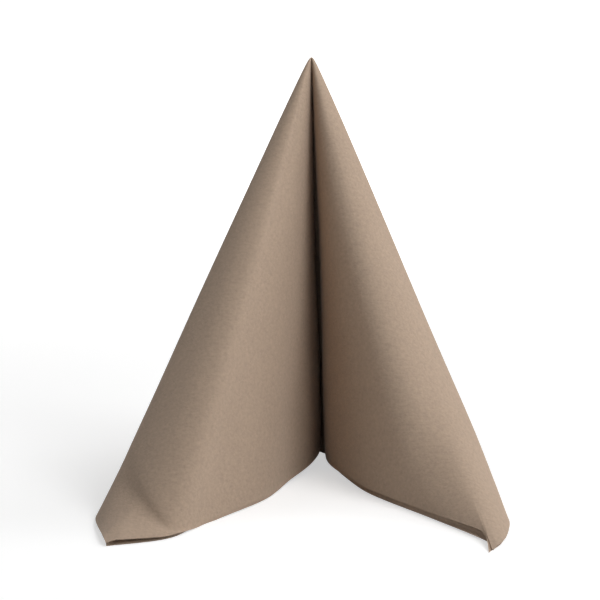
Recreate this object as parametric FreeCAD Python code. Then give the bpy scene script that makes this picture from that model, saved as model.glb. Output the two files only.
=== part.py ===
import FreeCAD, Part
import os

# A square airlaid paper napkin, folded to two plies and stood up as a pointed tent.
# All the fans of the sheet run to its centre point, which is the tip of the tent, so
# every wall is part of one cone over the plan line of its bottom edge. Only the two
# front corners leave the cone: they are bent forward and lie on the table as toes.
# Lengths are millimetres. X runs to the right wing, Y to the back fold, Z up.

ply = 0.40
ply_gap_foot = 0.80
ply_gap_head = 0.12

# The tip: where the cone's lines meet, the blunt end and the pressed paper under it.
tip_x = 5.7
tip_y = 0.0
cone_height = 202.5
blunt_drop = 3.2
pressed_drop = 32.4

# Plan of the cone at the table, from one flap's centre edge to the other. A point with
# four numbers also states where the toe carries it at the table.
back_fold = (7.9, -11.8)
right_corner = (85.2, -148.4, 82.4, -180.5)
left_corner = (-70.0, -149.5, -86.3, -170.0)
right_flap = [(11.2, -32.0), (16.5, -48.0), (25.5, -76.0), (38.5, -100.0), (54.0, -122.5),
              (64.5, -135.0, 67.0, -140.0), (73.5, -143.5, 76.5, -155.5),
              (81.0, -147.7, 81.6, -165.5)]
right_back = [(89.2, -146.6, 87.6, -172.0), (93.0, -142.0, 91.8, -160.0),
              (95.3, -133.5, 94.6, -145.0), (91.5, -119.0), (78.6, -98.3), (49.0, -61.0)]
left_back = [(-34.4, -54.0), (-68.8, -88.5), (-88.5, -110.0), (-93.5, -125.0),
             (-85.0, -139.5, -90.5, -147.0)]
left_flap = [(-53.0, -147.0, -62.0, -161.5), (-36.0, -129.0), (-15.4, -97.0), (-3.5, -71.0),
             (3.6, -46.0), (6.2, -32.0)]
facet_length = 10.0

# How high each toe's bend reaches.
right_toe_height = 16.0
left_toe_height = 9.0

# Flap edges lift off the table by the centre groove, and the outer ply of the right
# flap is drawn up towards its corner, so the ply inside shows below it.
groove_lift = 5.0
groove_lift_length = 46.0
corner_lift = 2.7
corner_lift_start = 24.0
corner_lift_run = 30.0
corner_lift_share = 0.35


def vec(x, y, z=0.0):
    return FreeCAD.Vector(x, y, z)


# A smooth line through plan points, cut into facets.
def cut_line(points, counts):
    knots = [vec(x, y) for x, y in points]
    line = Part.BSplineCurve()
    line.interpolate(knots)
    ends = []
    for a, b, count in zip(knots, knots[1:], counts):
        start = line.parameter(a)
        end = line.parameter(b)
        ends += [line.value(start + (end - start) * i / count) for i in range(count)]
    ends.append(knots[-1])
    return ends


def facet_counts(points):
    chords = [(vec(b[0], b[1]) - vec(a[0], a[1])).Length for a, b in zip(points, points[1:])]
    return [max(1, round(chord / facet_length)) for chord in chords]


# One wing: its cone line runs smoothly round the front corner, its line at the table is
# creased there.
def wing(first, second):
    whole = first + second[1:]
    cone = cut_line([p[:2] for p in whole], facet_counts(whole))
    table = cut_line([p[-2:] for p in first], facet_counts(first))[:-1]
    table += cut_line([p[-2:] for p in second], facet_counts(second))
    return cone, table, sum(facet_counts(first))


right_cone, right_table, right_at = wing(right_flap + [right_corner],
                                         [right_corner] + right_back + [back_fold])
left_cone, left_table, left_at = wing([back_fold] + left_back + [left_corner],
                                      [left_corner] + left_flap)
fold_at = len(right_cone) - 1
cone_line = right_cone + left_cone[1:]
table_line = right_table + left_table[1:]
left_at += fold_at
last = len(cone_line) - 1


# Height of a ply's raw edge above the table at a column.
def edge_lift(column, outer_ply):
    if right_at < column < left_at:
        return 0.0
    flap_end = cone_line[0] if column <= right_at else cone_line[last]
    run = (cone_line[column] - flap_end).Length
    lift = groove_lift * max(0.0, 1.0 - run / groove_lift_length)
    if outer_ply and column <= right_at:
        drawn_up = min(1.0, max(0.0, (run - corner_lift_start) / corner_lift_run))
        lift += corner_lift * drawn_up * (corner_lift_share if column == right_at else 1.0)
    return lift


# A column's point at one height: on the cone, plus what is left of the toe's bend.
def column_point(column, height):
    share = 1.0 - height / cone_height
    toe_height = right_toe_height if column <= fold_at else left_toe_height
    bend = min(1.0, max(0.0, 1.0 - height / toe_height)) ** 2
    tip = vec(tip_x, tip_y)
    flat = tip + (cone_line[column] - tip) * share
    flat = flat + (table_line[column] - cone_line[column]) * bend
    return vec(flat.x, flat.y, height)


# Plan normals of a row of points, outward, mitred at each so that offsets stay even.
def row_normals(row):
    sides = []
    for a, b in zip(row, row[1:]):
        along = vec(b.x - a.x, b.y - a.y).normalize()
        sides.append(vec(along.y, -along.x))
    normals = [sides[0]]
    for a, b in zip(sides, sides[1:]):
        normals.append((a + b) * (1.0 / (1.0 + a.dot(b))))
    normals.append(sides[-1])
    return normals


# A face of the paper at one step up the wall: the ply's row, moved inwards by a depth.
# The two ends may be drawn in along the row, for the turn at a flap's edge.
def paper_row(height, outer_ply, depth, short=0.0):
    row = []
    for column in range(last + 1):
        lift = edge_lift(column, outer_ply)
        row.append(column_point(column, lift + (pressed_height - lift) * height / pressed_height))
    row = [p - n * depth for p, n in zip(row, row_normals(row))]
    if short:
        row[0] = row[0] + (row[1] - row[0]).normalize() * short
        row[-1] = row[-1] + (row[-2] - row[-1]).normalize() * short
    return row


def gap_at(height):
    return ply_gap_foot + (ply_gap_head - ply_gap_foot) * height / pressed_height


# The two closed lines of the folded sheet at one step: round both plies, and round the
# gap between them.
def skin_outside(height):
    depth = 1.5 * ply + gap_at(height)
    return paper_row(height, True, -ply / 2) + paper_row(height, False, depth)[::-1]


def skin_inside(height):
    depth = ply / 2 + gap_at(height)
    return (paper_row(height, True, ply / 2, ply)
            + paper_row(height, False, depth, ply)[::-1])


def flat_face(points):
    return Part.Face(Part.makePolygon(points + [points[0]]))


# Triangles between two lines with as many points.
def strip_faces(low, high, closed):
    faces = []
    count = len(low) if closed else len(low) - 1
    for i in range(count):
        j = (i + 1) % len(low)
        faces.append(flat_face([low[i], low[j], high[j]]))
        faces.append(flat_face([low[i], high[j], high[i]]))
    return faces


pressed_height = cone_height - pressed_drop
low_toe = min(left_toe_height, right_toe_height)
high_toe = max(left_toe_height, right_toe_height)
steps = [0.0, low_toe / 2, low_toe, (low_toe + high_toe) / 2, high_toe, pressed_height]
outside = [skin_outside(step) for step in steps]
inside = [skin_inside(step) for step in steps]
faces = strip_faces(outside[0], inside[0], True)
for k in range(len(steps) - 1):
    faces += strip_faces(outside[k], outside[k + 1], True)
    faces += strip_faces(inside[k], inside[k + 1], True)

# Pressed tip: all layers together, from the head of the walls to the blunt end. Its foot
# closes the gap between the plies and spans the hollows of both wings.
head = outside[-1]
tip_foot = head[:last + 1]
wing_roof = [head[0]] + head[:last:-1] + [head[last]]
blunt_height = cone_height - blunt_drop
tip_end = [column_point(column, blunt_height) for column in range(last + 1)]
faces.append(flat_face(inside[-1]))
faces.append(flat_face(wing_roof))
faces += strip_faces(tip_foot, tip_end, True)
faces.append(flat_face(tip_end))
napkin = Part.Solid(Part.Shell(faces))
if napkin.Volume < 0:
    napkin = napkin.reversed()

# Origin: the middle of the bounding box, at the table.
box = napkin.BoundBox
napkin.translate(vec(-box.Center.x, -box.Center.y))
print("napkin", napkin.ShapeType, "valid", napkin.isValid(), "closed", napkin.isClosed())
print("moved", -box.Center.x, -box.Center.y)
print("box", napkin.BoundBox)
print("volume", round(napkin.Volume, 1), "faces", len(napkin.Faces))
os.makedirs("parts", exist_ok=True)
napkin.exportStep("parts/napkin.step")
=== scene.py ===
import bpy
import math
import numpy as np
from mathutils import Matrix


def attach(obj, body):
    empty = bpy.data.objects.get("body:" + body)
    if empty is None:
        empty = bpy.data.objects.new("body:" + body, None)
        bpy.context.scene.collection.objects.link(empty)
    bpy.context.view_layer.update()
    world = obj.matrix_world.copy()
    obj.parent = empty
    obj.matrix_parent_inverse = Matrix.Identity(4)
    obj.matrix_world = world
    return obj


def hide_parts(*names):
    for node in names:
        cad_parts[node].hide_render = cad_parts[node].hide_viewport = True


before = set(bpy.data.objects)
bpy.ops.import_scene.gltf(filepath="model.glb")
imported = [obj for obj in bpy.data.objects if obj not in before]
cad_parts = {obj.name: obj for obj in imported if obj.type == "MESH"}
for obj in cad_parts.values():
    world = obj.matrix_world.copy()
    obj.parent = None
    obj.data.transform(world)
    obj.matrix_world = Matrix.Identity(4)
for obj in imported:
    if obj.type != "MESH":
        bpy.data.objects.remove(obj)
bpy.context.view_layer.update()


# ---------------------------------------------------------------- the folded sheet
# One square of airlaid paper, folded to two plies and stood up as a pointed tent. All
# its fans run to the sheet's centre, the tip, so the walls are one cone; its two front
# corners are bent forward by hand and lie on the table. Nothing but the folds holds it.

# Lengths are millimetres until the mesh is filled. The tip's place in the plan, the
# height at which the cone's lines meet and, as a share of it, how far the tip is blunt.
TIP = np.array([5.7, 0.0])
CONE_HEIGHT = 202.5
BLUNT = 0.0158
FRAME_SHIFT = np.array([-0.55, 88.71])

# One ply's thickness, and the gap between the plies at the foot and near the tip. The
# gap waves a little from column to column. Where the cone is smaller than the pressed
# share of its foot, the layers are pressed together, down to none at the tip.
PLY = 0.46
GAP_FOOT = 0.95
GAP_HEAD = 0.12
GAP_WAVE = 0.25
GAP_WAVE_COLUMNS = 17.0
GAP_WAVE_PHASE = 0.6
PRESSED_SHARE = 0.16

# Plan points: place at the foot of the cone, then place at the table where a toe
# carries the paper forward, then place on the cone line near the tip, where the wings
# are rounder.
RIGHT_FLAP = [
    (13.2, -22.0, 13.2, -22.0, 15.0, -22.0), (13.2, -33.0, 13.2, -33.0, 14.8, -33.0),
    (14.4, -50.0, 14.4, -50.0, 15.8, -50.0), (20.8, -70.5, 20.8, -70.5, 19.0, -72.0),
    (30.2, -89.0, 30.2, -89.0, 26.0, -89.5), (41.0, -104.5, 41.0, -104.8, 34.0, -99.5),
    (49.5, -116.0, 50.5, -117.5, 42.0, -103.5), (57.0, -124.0, 59.5, -130.3, 50.0, -103.3),
    (64.5, -127.8, 68.5, -144.0, 58.0, -99.7), (71.5, -127.7, 75.0, -153.8, 65.5, -93.7),
    (77.0, -125.2, 80.0, -161.8, 71.5, -87.5), (80.0, -122.9, 83.6, -169.0, 75.0, -83.3),
    (82.5, -120.4, 85.0, -177.0, 78.0, -79.3),
]
RIGHT_BACK = [
    (82.5, -120.4, 85.0, -177.0, 78.0, -79.3), (85.5, -116.6, 89.0, -170.2, 81.5, -74.4),
    (90.0, -109.0, 92.8, -158.5, 87.0, -65.7), (94.0, -99.5, 95.2, -144.0, 92.3, -56.3),
    (95.8, -89.5, 95.6, -127.0, 95.8, -47.5), (92.0, -81.0, 92.0, -100.0, 92.0, -42.5),
    (81.5, -74.5, 81.5, -80.0, 82.0, -41.5), (65.0, -65.5, 65.0, -67.5, 65.0, -40.5),
    (48.0, -52.5, 48.0, -52.5, 48.0, -34.5), (7.9, -11.8),
]
LEFT_BACK = [
    (7.9, -11.8), (-34.4, -54.0), (-68.8, -88.5),
    (-88.0, -108.0, -88.0, -108.0, -88.5, -110.0), (-93.5, -122.0, -93.8, -125.0, -93.5, -125.0),
    (-88.5, -138.0, -91.5, -148.0, -87.0, -138.0), (-79.0, -150.0, -86.3, -170.0, -76.5, -147.3),
]
LEFT_FLAP = [
    (-79.0, -150.0, -86.3, -170.0, -76.5, -147.3), (-69.0, -157.0, -75.0, -167.0, -66.0, -150.3),
    (-60.0, -157.5, -61.5, -161.5, -56.5, -148.8), (-48.0, -144.5, -48.0, -144.5, -45.5, -140.0),
    (-33.5, -124.5), (-15.4, -97.0), (-5.0, -72.5, -5.0, -72.5, -5.5, -73.0),
    (3.0, -57.5, 3.0, -57.5, -0.5, -58.0), (7.6, -46.0, 7.6, -46.0, 3.0, -46.0),
    (10.4, -34.0, 10.4, -34.0, 6.5, -34.0), (10.8, -22.0, 10.8, -22.0, 8.5, -20.0),
]

# Columns of the mesh between two knots of the plan, and rows up the wall.
STEPS = 8
ROWS = 80

# The toes: how high each bend reaches at most and at least, how softly it ends, over
# what length the right one is rounded, and the height in which that rounding replaces
# its sharp corner. The left one fades out from its back wall to its flap, over some
# knots on both sides of the corner, and is tucked in about its own height.
RIGHT_TOE_HEIGHT = 46.0
LEFT_TOE_HEIGHT = 18.0
LEAST_TOE_HEIGHT = 1.0
TOE_SOFTNESS = 0.35
TOE_ROUNDING = 22.0
CORNER_HEIGHT = 7.0
LEFT_TOE_KNOTS = 2.3
LEFT_TUCK = 3.5
TUCK_MIDDLE = 1.05
TUCK_WIDTH = 0.5

# The raw edges: their lift by the groove, the lift of the right flap's outer ply towards
# its corner, of which a tenth is left at the corner itself, the inner ply's flare and
# slip there, and the puffed left corner.
GROOVE_LIFT = 8.5
GROOVE_LIFT_LENGTH = 90.0
CORNER_LIFT = 2.8
CORNER_LIFT_START = 24.0
CORNER_LIFT_RUN = 30.0
CORNER_LIFT_LEAST = 0.1
INNER_FLARE = 1.3
INNER_FLARE_RUN = 40.0
CORNER_SLIP = np.array([-2.0, -2.6])
CORNER_SLIP_KNOTS = 1.2
LEFT_PUFF = 1.3
LEFT_PUFF_KNOTS = 2.0
LEFT_PUFF_POWER = 0.7

# Heights in which these fade out.
GAP_FLARE_FADE = 12.0
EDGE_FLARE_FADE = 1.0
SLIP_FADE = 2.5
PUFF_FADE = 5.0
REST_FADE = 6.0

# Slow waves in the walls: size, phase, and the run along the plan line and the height
# over which each turns by one radian.
WAVES = [(0.40, 0.0, 21.0, 31.0), (0.25, 1.1, 12.5, -24.0), (0.08, 2.3, 6.0, 15.0)]

# Room for the inner faces beside a crease: at the crease, and more for each millimetre
# from it. Above a corner's crease the paper is loose.
FOLD_ROOM = 0.15
FOLD_ROOM_SLOPE = 0.9
CORNER_ROOM = 0.3
CORNER_ROOM_SLOPE = 0.34
LOOSE_ROOM = 6.0

EDGE_TURN_STEPS = 6
INNER_TIP_DROP = 0.5
CREASE_ANGLE = math.radians(38)


def plan_table(points):
    """Plan points as rows of six numbers: x and y at the foot, the table and the head.
    A place that a point leaves out is the one at its foot."""
    whole = [p + p[-2:] if len(p) == 2 else p for p in points]
    return np.array([p if len(p) == 6 else p + p[:2] for p in whole])


def natural_spline(at, values, where):
    """Natural cubic spline. The second derivatives solve a tridiagonal system, and each
    piece blends its two end values and end bends by the distance to both ends."""
    step = np.diff(at)
    slope = np.diff(values, axis=0) / step[:, None]
    size = len(at)
    system = np.eye(size)
    right = np.zeros_like(values)
    inner = np.arange(1, size - 1)
    system[inner, inner - 1] = step[:-1]
    system[inner, inner] = 2 * (step[:-1] + step[1:])
    system[inner, inner + 1] = step[1:]
    right[inner] = 6 * (slope[1:] - slope[:-1])
    bend = np.linalg.solve(system, right)
    k = np.clip(np.searchsorted(at, where, side="right") - 1, 0, size - 2)
    h = step[k][:, None]
    a = (at[k + 1] - where)[:, None] / h
    b = 1 - a
    return (a * values[k] + b * values[k + 1]
            + ((a ** 3 - a) * bend[k] + (b ** 3 - b) * bend[k + 1]) * h ** 2 / 6)


def chord_length(points):
    """Length along a line up to each of its points, as the sum of the chords."""
    chords = np.linalg.norm(np.diff(points, axis=0), axis=1)
    return np.concatenate([[0.0], np.cumsum(chords)])


def stations(at):
    """Equal steps between each two neighbouring knots."""
    share = np.arange(STEPS) / STEPS
    inside = at[:-1, None] + np.diff(at)[:, None] * share
    return np.append(inside.ravel(), at[-1])


def wing_lines(first, second):
    """Foot line, head line and table line of one wing, and its corner's column. At the
    foot and the head one spline runs round the front corner; at the table each panel
    has its own, so that the toe is pointed."""
    a, b = plan_table(first), plan_table(second)
    both = np.vstack([a, b[1:]])
    at = chord_length(both[:, :2])
    cone = natural_spline(at, both[:, :2], stations(at))
    head = natural_spline(at, both[:, 4:], stations(at))
    at_a = at[:len(a)]
    at_b = at[len(a) - 1:]
    table_a = natural_spline(at_a, a[:, 2:4], stations(at_a))
    table_b = natural_spline(at_b, b[:, 2:4], stations(at_b))
    corner = (len(a) - 1) * STEPS
    return cone, head, np.vstack([table_a, table_b[1:]]), corner


cone_right, head_right, table_right, corner_right = wing_lines(RIGHT_FLAP, RIGHT_BACK)
cone_left, head_left, table_left, corner_left = wing_lines(LEFT_BACK, LEFT_FLAP)
fold = len(cone_right) - 1
corner_left += fold
cone_line = np.vstack([cone_right, cone_left[1:]])
head_line = np.vstack([head_right, head_left[1:]])
table_line = np.vstack([table_right, table_left[1:]])
along = np.arange(len(cone_line))
on_right = along < fold


def eased(values, run, width):
    """Running mean over a length of the plan line, weighted by a raised cosine whose
    half width is given in millimetres."""
    even = np.linspace(0, run[-1], 600)
    half = round(width / even[1])
    weight = np.hanning(2 * half + 3)[1:-1]
    weight = weight / weight.sum()
    out = []
    for line in values.T:
        padded = np.pad(np.interp(even, run, line), half, mode="edge")
        out.append(np.interp(run, even, np.convolve(padded, weight, mode="valid")))
    return np.stack(out, axis=1)


# How far the toes carry each column, and how high its bend reaches. Only the paper next
# to the table comes to a point; above it the right toe is rounded.
pull = table_line - cone_line
right_run = chord_length(cone_line[:fold])
pull_eased = np.vstack([eased(pull[:fold], right_run, TOE_ROUNDING), pull[fold:]])
reach = np.linalg.norm(pull_eased, axis=1)
left_half = LEFT_TOE_KNOTS * STEPS
left_share = np.clip((corner_left + left_half - along) / (2 * left_half), 0, 1)
toe_height = LEAST_TOE_HEIGHT + np.where(
    on_right,
    RIGHT_TOE_HEIGHT * np.sqrt(reach / reach[:fold].max()),
    LEFT_TOE_HEIGHT * left_share,
)
toe_power = np.where(on_right, 2.0, 1.0)
inwards = (TIP - cone_line) / np.linalg.norm(TIP - cone_line, axis=1)[:, None]
tuck = inwards * np.where(on_right, 0.0, LEFT_TUCK * np.sin(math.pi * left_share))[:, None]

# Heights of the raw edges above the table, and the inner ply's flare, by column.
from_right_end = np.linalg.norm(cone_line - cone_line[0], axis=1)
from_left_end = np.linalg.norm(cone_line - cone_line[-1], axis=1)
from_groove = np.minimum(from_right_end, from_left_end)
on_flap = (along < corner_right) | (along > corner_left)
on_right_flap = along <= corner_right
groove_lift = GROOVE_LIFT * np.clip(1 - from_groove / GROOVE_LIFT_LENGTH, 0, 1) ** 2
groove_lift = np.where(on_flap, groove_lift, 0.0)
past_start = from_right_end - CORNER_LIFT_START
before_corner = (corner_right - along) / STEPS
outer_lift = CORNER_LIFT * np.clip(past_start / CORNER_LIFT_RUN, 0, 1)
outer_lift = np.where(on_right_flap, outer_lift, 0.0)
outer_lift *= np.clip(before_corner, CORNER_LIFT_LEAST, 1)
inner_flare = INNER_FLARE * np.clip(past_start / INNER_FLARE_RUN, 0, 1)
inner_flare = np.where(on_right_flap, inner_flare, 0.0) * np.clip(before_corner, 0, 1)


def beside_corner(corner, knots):
    """1 at a corner's column, down to 0 some knots away on both sides."""
    return np.clip(1 - np.abs(along - corner) / (knots * STEPS), 0, 1)


left_puff = LEFT_PUFF * beside_corner(corner_left, LEFT_PUFF_KNOTS) ** LEFT_PUFF_POWER
slipped = beside_corner(corner_right, CORNER_SLIP_KNOTS)


def smooth_waves(height):
    """Unevenness of hand-folded paper: a sum of sine waves, each of the run along the
    plan line and the height, both over its own lengths."""
    run = chord_length(cone_line)[None, :]
    return sum(size * np.sin(run / aside + height / upward + phase)
               for size, phase, aside, upward in WAVES)


def outward_normals(surface):
    """Unit cross products of the steps along the rows and up the columns. The last rows,
    where the columns close on the tip, take the normals of the row below them."""
    normal = np.cross(np.gradient(surface, axis=1), np.gradient(surface, axis=0))
    length = np.linalg.norm(normal, axis=2, keepdims=True)
    normal = normal / np.maximum(length, 1e-12)
    normal[-4:] = normal[-5]
    return normal


def wall(foot):
    """Middle surface of the outer ply, its outward normals, the local size of the cone,
    the toes' bend and the heights. A column runs from its foot height to the tip, in
    steps that are shorter at both ends. Its point is the tip plus the cone share times a
    plan point that goes evenly from the head line to the foot line, moved by the toe's
    bend: a straight ramp from the table whose upper end is rounded off, squared on the
    right so that it lies flatter. Above the left toe the wall is tucked in, by a bell
    curve of the height. Slow waves move it along its normals, except on the toes."""
    climb = (1 - np.cos(np.linspace(0, math.pi, ROWS + 1))) / 2
    top = CONE_HEIGHT * (1 - BLUNT)
    height = foot[None, :] + (top - foot)[None, :] * climb[:, None]
    share = np.sqrt(np.clip((1 - height / CONE_HEIGHT) ** 2 - BLUNT ** 2, 0, None))
    left_over = 1 - height / toe_height
    bend = (left_over + np.hypot(left_over, TOE_SOFTNESS)) / (1 + math.hypot(1, TOE_SOFTNESS))
    bend = bend ** toe_power
    settled = np.exp(-(height / CORNER_HEIGHT) ** 2)[..., None]
    tucked = np.exp(-((height / toe_height - TUCK_MIDDLE) / TUCK_WIDTH) ** 2)[..., None]
    size = share[..., None]
    flat = TIP + size * (head_line - TIP + size * (cone_line - head_line))
    flat = flat + bend[..., None] * (pull * settled + pull_eased * (1 - settled))
    surface = np.dstack([flat + tuck * tucked, height])
    normal = outward_normals(surface)
    waves = smooth_waves(height) * np.clip(share, 0, 1) * np.clip(1 - bend * 2, 0, 1)
    surface = surface + normal * waves[..., None]
    return surface, normal, share, bend, height


def crease_room(surface, bend):
    """How far the inner faces may stand off the outer one near a crease: they meet in
    the fold, so the room grows with the distance along the row from the crease."""
    step = np.linalg.norm(np.diff(surface, axis=1), axis=2)
    run = np.concatenate([np.zeros((len(step), 1)), np.cumsum(step, axis=1)], axis=1)
    room = FOLD_ROOM + FOLD_ROOM_SLOPE * np.abs(run - run[:, fold:fold + 1])
    for corner in (corner_right, corner_left):
        beside = np.abs(run - run[:, corner:corner + 1])
        loose = LOOSE_ROOM * (1 - bend[:, corner:corner + 1]) ** 2
        room = np.minimum(room, CORNER_ROOM + CORNER_ROOM_SLOPE * beside + loose)
    return room


def faces_of_ply(foot, which):
    """Outer and inner face of one ply: the wall moved inwards along its normals. Layers
    are counted inwards from the outer ply's middle, and the whole stack rests on its
    lowest face where the paper lies flat. The gap waves slowly along the plan line."""
    surface, normal, share, bend, height = wall(foot)
    pressed = np.clip(share / PRESSED_SHARE, 0, 1)
    opened = np.clip((share - PRESSED_SHARE) / (1 - PRESSED_SHARE), 0, 1)
    gap = GAP_HEAD + (GAP_FOOT - GAP_HEAD) * opened
    gap = gap * (1 + GAP_WAVE * np.sin(along / GAP_WAVE_COLUMNS + GAP_WAVE_PHASE))[None, :]
    gap = gap + inner_flare * np.exp(-height / GAP_FLARE_FADE)
    room = crease_room(surface, bend)
    lowest = np.minimum(1.5 * PLY + gap, room) * pressed
    rest = lowest * np.abs(normal[..., 2]) * np.exp(-height / REST_FADE)
    depths = (-PLY / 2, PLY / 2) if which == "outer" else (PLY / 2 + gap, 1.5 * PLY + gap)
    out = []
    for depth in depths:
        depth = np.minimum(depth * np.ones_like(room), room) * pressed
        face = surface - normal * depth[..., None]
        face[..., 2] += rest
        if which == "outer":
            face[..., 2] += left_puff * np.exp(-height / PUFF_FADE)
        else:
            flare = inner_flare * np.exp(-(height / EDGE_FLARE_FADE) ** 2)
            face = face + normal * flare[..., None]
            face[..., :2] += CORNER_SLIP * (slipped * np.exp(-height / SLIP_FADE))[..., None]
        out.append(face)
    return out


def turned_edge(a, b, direction):
    """Half-round turn from column a to column b: their middle, plus a half circle whose
    radius is half their distance, bulging along the given direction."""
    angle = np.linspace(0, math.pi, EDGE_TURN_STEPS + 2)[1:-1]
    middle = (a + b) / 2
    half = (a - b) / 2
    radius = np.linalg.norm(half, axis=1, keepdims=True)
    unit = direction / np.maximum(np.linalg.norm(direction, axis=1, keepdims=True), 1e-9)
    turn = [middle + half * math.cos(t) + unit * radius * math.sin(t) for t in angle]
    return np.stack(turn, axis=1)


def ring(outer, inner):
    """Closed loop of columns: along one ply, round the turned edge of the left flap,
    back along the other ply and round the turned edge of the right flap."""
    left = turned_edge(outer[:, -1], inner[:, -1], outer[:, -1] - outer[:, -3])
    right = turned_edge(inner[:, 0], outer[:, 0], outer[:, 0] - outer[:, 2])
    return np.concatenate([outer, left, inner[:, ::-1], right], axis=1)


def sheet_mesh():
    """Two closed skins, one round both plies and one round the gap between them, joined
    by the raw edges at the foot; each is closed to a point at the tip. The skin round
    the gap is turned inside out, so that all faces point out of the paper."""
    outer_out, outer_in = faces_of_ply(groove_lift + outer_lift, "outer")
    inner_out, inner_in = faces_of_ply(groove_lift, "inner")
    skins = [ring(outer_out, inner_in), ring(outer_in, inner_out)]
    skins[1][-1, :, 2] -= INNER_TIP_DROP
    rows, around = skins[0].shape[:2]
    skin_size = (rows - 1) * around + 1
    column = np.arange(around)
    after = (column + 1) % around
    points, quads, tris = [], [], []
    for number, skin in enumerate(skins):
        start = number * skin_size
        points += [skin[:-1].reshape(-1, 3), skin[-1].mean(axis=0)[None]]
        low = start + np.arange(rows - 2)[:, None] * around
        high = low + around
        quad = np.stack([low + column, low + after, high + after, high + column], axis=-1)
        last = start + (rows - 2) * around
        pole = np.full(around, start + skin_size - 1)
        fan = np.stack([last + column, last + after, pole], axis=-1)
        if number:
            quad, fan = quad[..., ::-1], fan[..., ::-1]
        quads.append(quad.reshape(-1, 4))
        tris.append(fan)
    inside, inside_after = skin_size + column, skin_size + after
    quads.append(np.stack([column, inside, inside_after, after], axis=-1))
    points = np.vstack(points)
    points[:, :2] += FRAME_SHIFT
    points[:, 2] = np.maximum(points[:, 2], 0.0)
    mesh = bpy.data.meshes.new("napkin_sheet")
    faces = np.vstack(quads).tolist() + np.vstack(tris).tolist()
    mesh.from_pydata((points / 1000).tolist(), [], faces)
    mesh.validate()
    mesh.update()
    mesh.shade_smooth()
    mesh.set_sharp_from_angle(angle=CREASE_ANGLE)
    return mesh


class Wire:
    """A shader socket on which maths can be written as Python expressions."""

    def __init__(self, tree, socket=None):
        self.tree = tree
        self.socket = socket

    def node(self, kind, settings=None, sockets=None, out=0):
        """Wire from a new node. Its settings are set first, then each of its sockets, by
        name or number, gets its value or link."""
        made = self.tree.nodes.new(kind)
        for name, value in (settings or {}).items():
            setattr(made, name, value)
        for name, value in (sockets or {}).items():
            if isinstance(value, Wire):
                self.tree.links.new(value.socket, made.inputs[name])
            else:
                made.inputs[name].default_value = value
        return Wire(self.tree, made.outputs[out] if made.outputs else None)

    def maths(self, operation, first, second):
        return self.node("ShaderNodeMath", {"operation": operation}, {0: first, 1: second})

    def __add__(self, other):
        return self.maths("ADD", self, other)

    __radd__ = __add__

    def __sub__(self, other):
        return self.maths("SUBTRACT", self, other)

    def __rsub__(self, other):
        return self.maths("SUBTRACT", other, self)

    def __mul__(self, other):
        return self.maths("MULTIPLY", self, other)

    __rmul__ = __mul__


PAPER_COLOUR = (0.488, 0.364, 0.270, 1.0)
FIBRE_STRETCH = 0.22


def airlaid_paper():
    """Dyed airlaid paper: matt, with short soft fibres that mottle it finely. The colour
    is multiplied by 1 plus faint clouds, a fine mottle and two crossed sets of fibres,
    and the mottle and the fibres also give the relief."""
    material = bpy.data.materials.new("airlaid_paper")
    material.use_nodes = True
    material.node_tree.nodes.clear()
    start = Wire(material.node_tree)
    place = start.node("ShaderNodeTexCoord", out="Object")

    def grain(where, scale, detail, roughness):
        """Noise that goes to both sides of 0."""
        return start.node("ShaderNodeTexNoise", {"noise_dimensions": "3D"}, {
            "Vector": where, "Scale": scale, "Detail": detail, "Roughness": roughness,
        }, out="Fac") - 0.5

    def fibres(turn, stretch):
        """Noise drawn out along one axis, after the axes are turned."""
        where = start.node("ShaderNodeMapping", None, {
            "Vector": place, "Rotation": turn, "Scale": stretch,
        })
        return grain(where, 900.0, 2.0, 0.6)

    cloud = grain(place, 34.0, 3.0, 0.55)
    mottle = grain(place, 520.0, 3.0, 0.62)
    fibre = (fibres((0.4, 0.2, 0.7), (1.0, FIBRE_STRETCH, 1.0))
             + fibres((0.9, 0.5, -0.6), (FIBRE_STRETCH, 1.0, 1.0)))
    tone = 1.0 + cloud * 0.06 + mottle * 0.34 + fibre * 0.20
    shade = start.node("ShaderNodeCombineColor", None, {"Red": tone, "Green": tone, "Blue": tone})
    colour = start.node(
        "ShaderNodeMix", {"data_type": "RGBA", "blend_type": "MULTIPLY"},
        {0: 1.0, 6: PAPER_COLOUR, 7: shade}, out=2,
    )
    bump = start.node("ShaderNodeBump", None, {
        "Height": mottle * 0.6 + fibre * 0.5, "Strength": 0.35, "Distance": 0.0006,
    })
    paper = start.node("ShaderNodeBsdfPrincipled", None, {
        "Base Color": colour, "Roughness": 0.5 + (mottle + 0.5) * 0.8, "Normal": bump,
        "Specular IOR Level": 0.25, "Sheen Weight": 0.12, "Sheen Roughness": 0.6,
    })
    start.node("ShaderNodeOutputMaterial", None, {"Surface": paper})
    return material


napkin_sheet = bpy.data.objects.new("napkin_sheet", sheet_mesh())
bpy.context.scene.collection.objects.link(napkin_sheet)
napkin_sheet.data.materials.append(airlaid_paper())
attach(napkin_sheet, "root")
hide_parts("napkin")


# ---------------------------------------------------------------- the table and light
# A plain white studio table, four large soft lamps, three of them on the right, and a
# nearly dark room. The camera sees the table and the room as white, with the napkin's
# shadow on the table. None of this is part of the napkin.

# Metres from here on. The glow rises from the first distance to the second.
TABLE_HALF = 6.0
TABLE_COLOUR = (0.65, 0.65, 0.65, 1.0)
GLOW_START = 0.25
GLOW_FULL = 1.0
GLOW_BY_NAPKIN = 0.55
ROOM_LEVEL = 0.02
LAMP_AIM_HEIGHT = 0.08
LAMP_DISTANCE = 2.0
LAMP_SIZE = 1.1


def seen_by_camera(start):
    """1 on rays from the camera and on their reflections and refractions, else 0."""
    path = "ShaderNodeLightPath"
    bounced = start.maths("MAXIMUM", start.node(path, out="Is Glossy Ray"),
                          start.node(path, out="Is Transmission Ray"))
    return start.maths("MAXIMUM", start.node(path, out="Is Camera Ray"), bounced)


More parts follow.
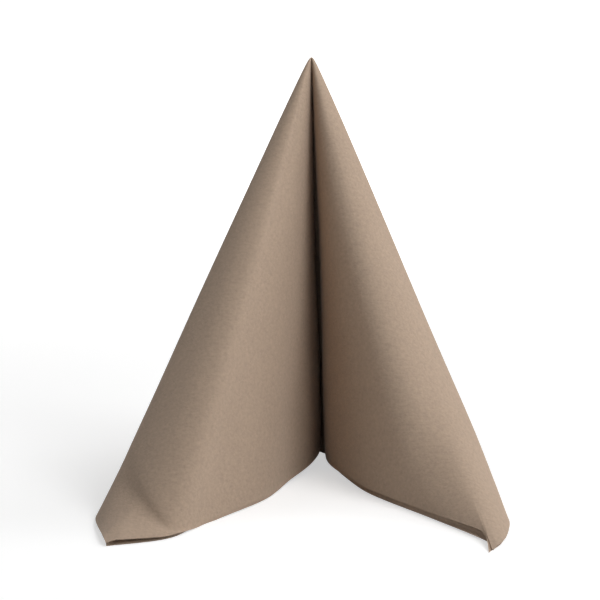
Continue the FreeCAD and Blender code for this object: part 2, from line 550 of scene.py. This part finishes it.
def plain_white():
    """Matt off-white. What the camera sees of it is lifted by a glow, weaker round the
    napkin than far away, so that the table is pure white and the shadow on it stays."""
    material = bpy.data.materials.new("studio_white")
    material.use_nodes = True
    tree = material.node_tree
    start = Wire(tree)
    away = start.node("ShaderNodeVectorMath", {"operation": "LENGTH"},
                      {0: start.node("ShaderNodeTexCoord", out="Object")}, out="Value")
    level = start.node("ShaderNodeMapRange", {"interpolation_type": "SMOOTHSTEP"}, {
        "Value": away, "From Min": GLOW_START, "From Max": GLOW_FULL,
        "To Min": GLOW_BY_NAPKIN, "To Max": 1.0,
    })
    glow = start.node("ShaderNodeEmission", None, {"Strength": seen_by_camera(start) * level})
    matt = tree.nodes["Principled BSDF"]
    matt.inputs["Base Color"].default_value = TABLE_COLOUR
    matt.inputs["Roughness"].default_value = 0.9
    both = start.node("ShaderNodeAddShader", None, {0: Wire(tree, matt.outputs[0]), 1: glow})
    tree.links.new(both.socket, tree.nodes["Material Output"].inputs["Surface"])
    return material


table_corners = [(x * TABLE_HALF, y * TABLE_HALF, 0.0)
                 for x, y in ((-1, -1), (1, -1), (1, 1), (-1, 1))]
table_mesh = bpy.data.meshes.new("studio_table")
table_mesh.from_pydata(table_corners, [], [(0, 1, 2, 3)])
studio_table = bpy.data.objects.new("studio_table", table_mesh)
bpy.context.scene.collection.objects.link(studio_table)
studio_table.data.materials.append(plain_white())


def soft_lamp(name, azimuth, elevation, power):
    """Square area lamp on a sphere round the napkin and facing it. Its place is given by
    its angle from the camera's side towards the right and its angle above the table."""
    a, e = math.radians(azimuth), math.radians(elevation)
    lamp = bpy.data.lights.new(name, "AREA")
    lamp.size = LAMP_SIZE
    lamp.energy = power
    holder = bpy.data.objects.new(name, lamp)
    bpy.context.scene.collection.objects.link(holder)
    holder.location = (
        LAMP_DISTANCE * math.sin(a) * math.cos(e),
        -LAMP_DISTANCE * math.cos(a) * math.cos(e),
        LAMP_AIM_HEIGHT + LAMP_DISTANCE * math.sin(e),
    )
    holder.rotation_euler = (math.pi / 2 - e, 0.0, a)


soft_lamp("left_light", -75, 30, 7.0)
soft_lamp("front_right_light", 50, 32, 10.5)
soft_lamp("back_right_light", 115, 30, 14.6)
soft_lamp("high_right_light", 80, 58, 16.0)

world = bpy.data.worlds.new("studio_room")
bpy.context.scene.world = world
world.use_nodes = True
world.node_tree.nodes.clear()
room = Wire(world.node_tree)
background = room.node("ShaderNodeBackground", None, {
    "Color": (1.0, 1.0, 1.0, 1.0),
    "Strength": ROOM_LEVEL + seen_by_camera(room) * (1.0 - ROOM_LEVEL),
})
room.node("ShaderNodeOutputWorld", None, {"Surface": background})


# ---------------------------------------------------------------- the camera
# A long lens on a stand in front of the table, twelve degrees above the horizon, as far
# back as the photograph's flat perspective asks. It aims at a point below the tip.

ELEVATION = math.radians(12.0)
DISTANCE = 1.18
AIM = (-0.00055, 0.08871, 0.0757)
FOCAL_LENGTH = 139.1

lens = bpy.data.cameras.new("studio_camera")
lens.lens = FOCAL_LENGTH
lens.sensor_width = 36.0
lens.clip_end = 50.0
studio_camera = bpy.data.objects.new("studio_camera", lens)
bpy.context.scene.collection.objects.link(studio_camera)
studio_camera.location = (
    AIM[0],
    AIM[1] - DISTANCE * math.cos(ELEVATION),
    AIM[2] + DISTANCE * math.sin(ELEVATION),
)
studio_camera.rotation_euler = (math.pi / 2 - ELEVATION, 0.0, 0.0)
bpy.context.scene.camera = studio_camera

bpy.context.scene.view_settings.view_transform = "Standard"
